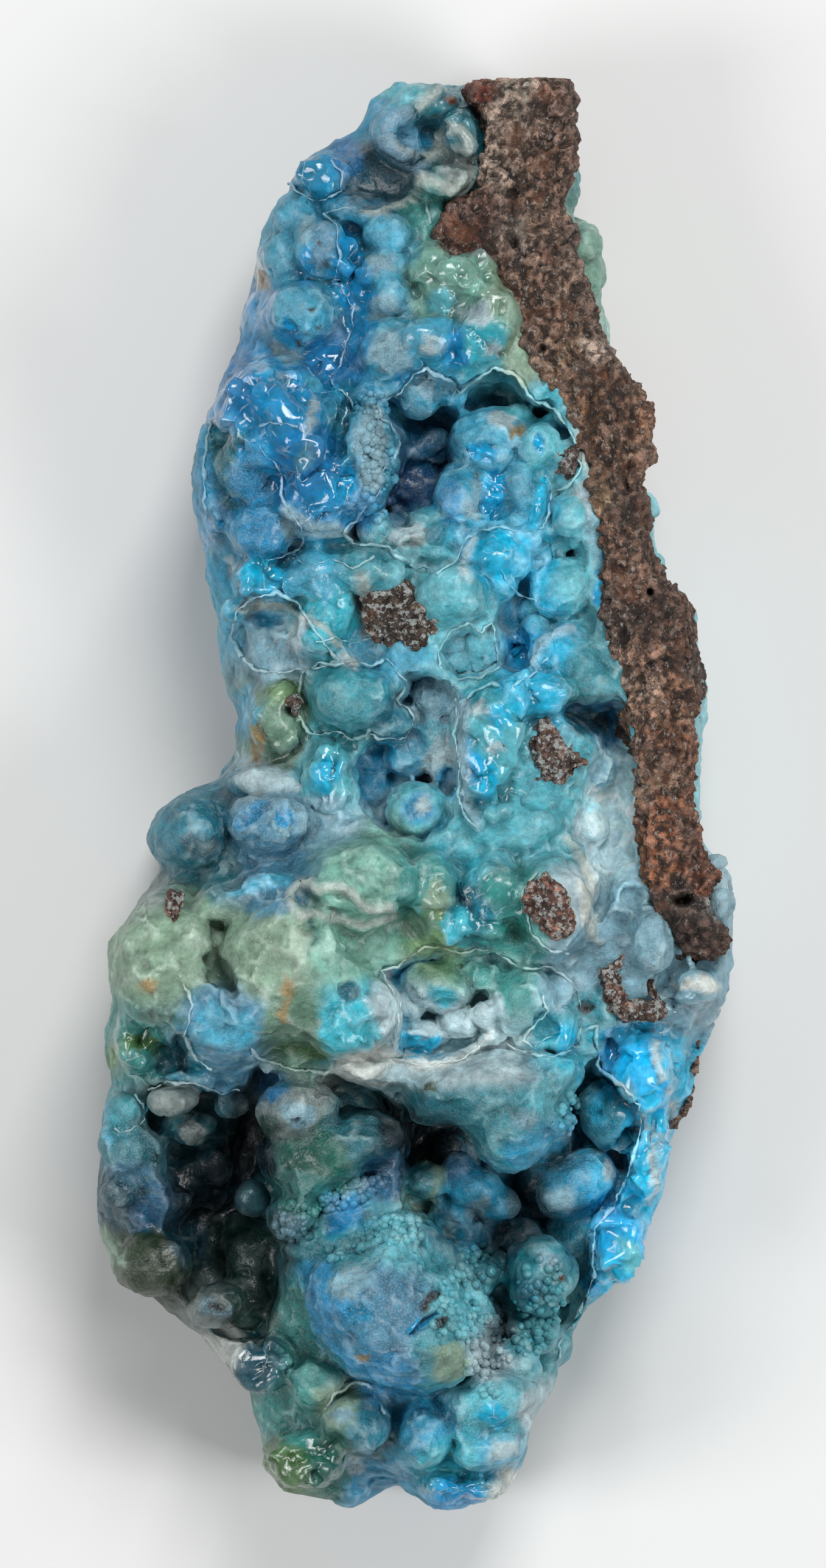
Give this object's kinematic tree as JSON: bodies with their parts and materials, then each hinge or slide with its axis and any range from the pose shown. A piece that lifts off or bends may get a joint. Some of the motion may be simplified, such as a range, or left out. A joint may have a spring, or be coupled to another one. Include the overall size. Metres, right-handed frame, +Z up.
{
  "type": "gibbsite mineral specimen",
  "caption": "Botryoidal blue-green gibbsite crust with rounded balls, broken hollows and white rims, grown on brown granular ironstone, lying on a flat trimmed back.",
  "frame": {"origin": "middle of the specimen's length and width, on its flat trimmed underside", "axes": "+Y along the specimen to its narrow upper end, +X to the ironstone side, +Z up out of the display face"},
  "size_m": [0.0354, 0.0793, 0.0239],
  "materials": {
    "gibbsite": "satin",
    "ironstone": "matte"
  },
  "bodies": {
    "root": {"gibbsite": "gibbsite", "side_crust": "gibbsite", "ironstone_matrix": "ironstone", "ironstone_inclusion_1": "ironstone", "ironstone_inclusion_2": "ironstone", "ironstone_inclusion_3": "ironstone", "ironstone_inclusion_4": "ironstone", "ironstone_inclusion_5": "ironstone", "ironstone_inclusion_6": "ironstone", "ironstone_inclusion_7": "ironstone"}
  },
  "joints": []
}
